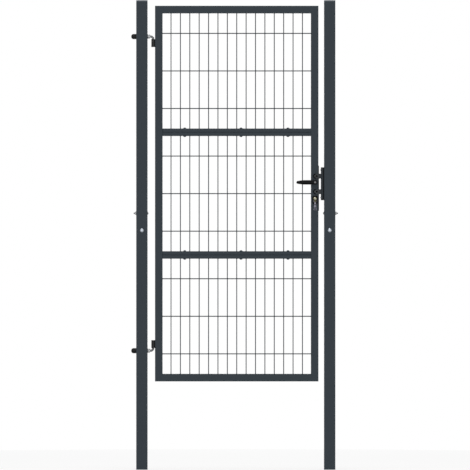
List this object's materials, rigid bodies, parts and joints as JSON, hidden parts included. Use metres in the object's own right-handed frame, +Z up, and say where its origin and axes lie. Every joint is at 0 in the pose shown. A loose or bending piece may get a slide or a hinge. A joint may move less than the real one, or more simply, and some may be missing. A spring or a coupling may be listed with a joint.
{
  "type": "mesh gate",
  "caption": "Single-leaf garden gate: a welded wire mesh leaf in a square tube frame, hung on rod hinges between two square posts, with a lever lock and a keep.",
  "frame": {"origin": "centre of the hinge post's foot", "axes": "+X towards the latch post, +Y to the back, where the leaf opens, +Z up"},
  "size_m": [1.1011, 0.157, 2.5],
  "materials": {
    "powder_coat": "anthracite powder coat",
    "grey_plastic": "moulded",
    "zinc": "zinc plated",
    "black_plastic": "fine grained",
    "black_metal": "satin black",
    "rubber": "matte",
    "brass": "satin",
    "nickel": "nickel plated"
  },
  "bodies": {
    "posts": {"hinge_post": "powder_coat", "latch_post": "powder_coat", "hinge_post_cap": "grey_plastic", "latch_post_cap": "grey_plastic", "upper_hinge_rod": "zinc", "lower_hinge_rod": "zinc", "upper_rod_nut": "zinc", "lower_rod_nut": "zinc", "upper_nut_cap": "black_plastic", "lower_nut_cap": "black_plastic", "side_bolts": "zinc", "front_bolts": "zinc", "keep": "black_plastic", "stop_arms": "powder_coat", "keep_screws": "zinc", "stop_buffers": "rubber"},
    "leaf": {"hinge_stile": "powder_coat", "latch_stile": "powder_coat", "top_rail": "powder_coat", "bottom_rail": "powder_coat", "upper_middle_rail_top": "powder_coat", "upper_middle_rail_bottom": "powder_coat", "lower_middle_rail_top": "powder_coat", "lower_middle_rail_bottom": "powder_coat", "upper_rail_bolts": "powder_coat", "lower_rail_bolts": "powder_coat", "upper_mesh": "powder_coat", "middle_mesh": "powder_coat", "lower_mesh": "powder_coat", "upper_hinge_barrel": "black_metal", "lower_hinge_barrel": "black_metal", "lock_case": "black_metal", "latch_bolt": "zinc", "dead_bolt": "zinc", "lock_cylinder": "brass", "front_escutcheon": "black_plastic", "back_escutcheon": "black_plastic", "front_rose": "black_plastic", "back_rose": "black_plastic"},
    "lever_set": {"front_lever": "black_metal", "back_lever": "black_metal", "spindle": "nickel"},
    "key_set": {"cylinder_plug": "brass", "key": "nickel"},
    "key_bunch": {"key_ring": "nickel", "spare_keys": "nickel"}
  },
  "joints": [
    {"name": "gate_swing", "type": "hinge", "parent": "posts", "child": "leaf", "pos_m": [0.06, 0, 0.669], "axis": [0, 0, 1], "range_deg": [0, 90]},
    {"name": "lever_turn", "type": "hinge", "parent": "leaf", "child": "lever_set", "pos_m": [0.922, 0, 1.53], "axis": [0, -1, 0], "range_deg": [0, 35], "stiffness_Nm_per_rad": 1.5, "springref_deg": -22.92},
    {"name": "key_turn", "type": "hinge", "parent": "leaf", "child": "key_set", "pos_m": [0.922, 0, 1.444], "axis": [0, -1, 0], "range_deg": [0, 30], "stiffness_Nm_per_rad": 0.2, "springref_deg": -11.46},
    {"name": "keys_swing", "type": "hinge", "parent": "key_set", "child": "key_bunch", "pos_m": [0.922, -0.046, 1.4422], "axis": [0, -1, 0], "range_deg": [-30, 30]}
  ]
}
